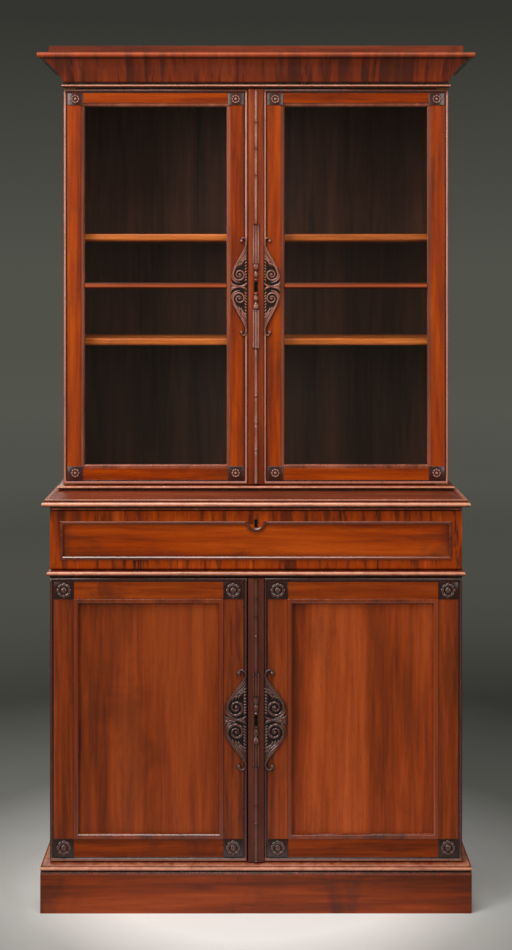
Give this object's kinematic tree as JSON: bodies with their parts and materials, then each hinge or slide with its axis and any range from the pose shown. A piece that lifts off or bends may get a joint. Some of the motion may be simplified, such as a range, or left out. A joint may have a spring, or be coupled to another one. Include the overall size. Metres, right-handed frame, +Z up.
{
  "type": "secretaire bookcase",
  "caption": "Tall two-stage mahogany secretaire bookcase: glazed doors over a fall-front writing drawer and a panelled cupboard, with carved scrolls and rosettes.",
  "frame": {"origin": "middle of the base, on the floor", "axes": "+Z up, -Y towards the person who opens the doors, +X to that person's right"},
  "size_m": [1.156, 0.507, 2.242],
  "materials": {
    "door_wood": "french polished mahogany, satin gloss",
    "panel_wood": "figured mahogany veneer, satin gloss",
    "case_wood": "french polished mahogany, satin",
    "cornice_wood": "cross-banded mahogany veneer, satin",
    "carved_wood": "carved mahogany with dark patina",
    "inner_wood": "oiled mahogany and cedar",
    "back_wood": "plain pine boards",
    "glass": "thin clear window glass",
    "brass": "aged brass",
    "leather": "green writing leather"
  },
  "bodies": {
    "carcase": {"plinth_boards": "case_wood", "plinth_moulding": "case_wood", "lower_sides": "case_wood", "lower_boards": "case_wood", "lower_back": "back_wood", "waist_bead": "case_wood", "lower_top": "case_wood", "upper_sides": "case_wood", "upper_boards": "case_wood", "upper_back": "back_wood", "upper_base_moulding": "case_wood", "shelves": "inner_wood", "cornice_bead": "cornice_wood", "cornice_cove": "cornice_wood", "cornice_blocking": "brass", "case_hinge_leaves": "brass", "hinge_pins": "brass"},
    "upper_left_door": {"upper_left_door_stiles": "door_wood", "upper_left_door_rails": "door_wood", "upper_left_door_glass": "glass", "upper_left_door_glazing_bead": "door_wood", "upper_left_door_carvings": "carved_wood", "upper_left_door_hinge_leaves": "brass"},
    "upper_right_door": {"upper_right_door_stiles": "door_wood", "upper_right_door_rails": "door_wood", "upper_right_door_glass": "glass", "upper_right_door_glazing_bead": "door_wood", "upper_right_door_carvings": "carved_wood", "upper_right_door_hinge_leaves": "brass", "upper_meeting_strip": "carved_wood", "upper_door_lock": "brass"},
    "lower_left_door": {"lower_left_door_stiles": "door_wood", "lower_left_door_rails": "door_wood", "lower_left_door_panel": "panel_wood", "lower_left_door_panel_moulding": "door_wood", "lower_left_door_carvings": "carved_wood", "lower_left_door_hinge_leaves": "brass"},
    "lower_right_door": {"lower_right_door_stiles": "door_wood", "lower_right_door_rails": "door_wood", "lower_right_door_panel": "panel_wood", "lower_right_door_panel_moulding": "door_wood", "lower_right_door_carvings": "carved_wood", "lower_right_door_hinge_leaves": "brass", "lower_meeting_strip": "carved_wood", "lower_door_lock": "brass"},
    "upper_bolt": {"upper_door_bolt": "brass"},
    "lower_bolt": {"lower_door_bolt": "brass"},
    "secretaire": {"secretaire_carcase": "inner_wood", "secretaire_desk": "inner_wood", "desk_leather": "leather", "pigeonholes": "inner_wood", "fall_hinge_straps": "brass"},
    "left_small_drawer": {"left_small_drawer": "inner_wood"},
    "right_small_drawer": {"right_small_drawer": "inner_wood"},
    "fall": {"fall_front": "panel_wood", "fall_moulding": "door_wood", "fall_hinge_pins": "brass", "fall_quadrants": "brass", "fall_lock": "brass"},
    "fall_bolt": {"fall_bolt": "brass"}
  },
  "joints": [
    {"name": "upper_left_door_hinge", "type": "hinge", "parent": "carcase", "child": "upper_left_door", "pos_m": [-0.511, -0.0565, 1.602], "axis": [0, 0, -1], "range_deg": [0, 170]},
    {"name": "upper_right_door_hinge", "type": "hinge", "parent": "carcase", "child": "upper_right_door", "pos_m": [0.511, -0.0565, 1.602], "axis": [0, 0, 1], "range_deg": [0, 170]},
    {"name": "upper_bolt_slide", "type": "slide", "parent": "upper_right_door", "child": "upper_bolt", "axis": [-1, 0, 0], "range_m": [0, 0.008]},
    {"name": "lower_left_door_hinge", "type": "hinge", "parent": "carcase", "child": "lower_left_door", "pos_m": [-0.526, -0.2205, 0.49], "axis": [0, 0, -1], "range_deg": [0, 170]},
    {"name": "lower_right_door_hinge", "type": "hinge", "parent": "carcase", "child": "lower_right_door", "pos_m": [0.526, -0.2205, 0.49], "axis": [0, 0, 1], "range_deg": [0, 170]},
    {"name": "lower_bolt_slide", "type": "slide", "parent": "lower_right_door", "child": "lower_bolt", "axis": [-1, 0, 0], "range_m": [0, 0.008]},
    {"name": "secretaire_slide", "type": "slide", "parent": "carcase", "child": "secretaire", "axis": [0, -1, 0], "range_m": [0, 0.28]},
    {"name": "fall_hinge", "type": "hinge", "parent": "secretaire", "child": "fall", "pos_m": [0, -0.2195, 0.887], "axis": [1, 0, 0], "range_deg": [0, 90]},
    {"name": "fall_bolt_slide", "type": "slide", "parent": "fall", "child": "fall_bolt", "axis": [0, 0, 1], "range_m": [0, 0.008]},
    {"name": "left_small_drawer_slide", "type": "slide", "parent": "secretaire", "child": "left_small_drawer", "axis": [0, -1, 0], "range_m": [0, 0.1]},
    {"name": "right_small_drawer_slide", "type": "slide", "parent": "secretaire", "child": "right_small_drawer", "axis": [0, -1, 0], "range_m": [0, 0.1]}
  ]
}
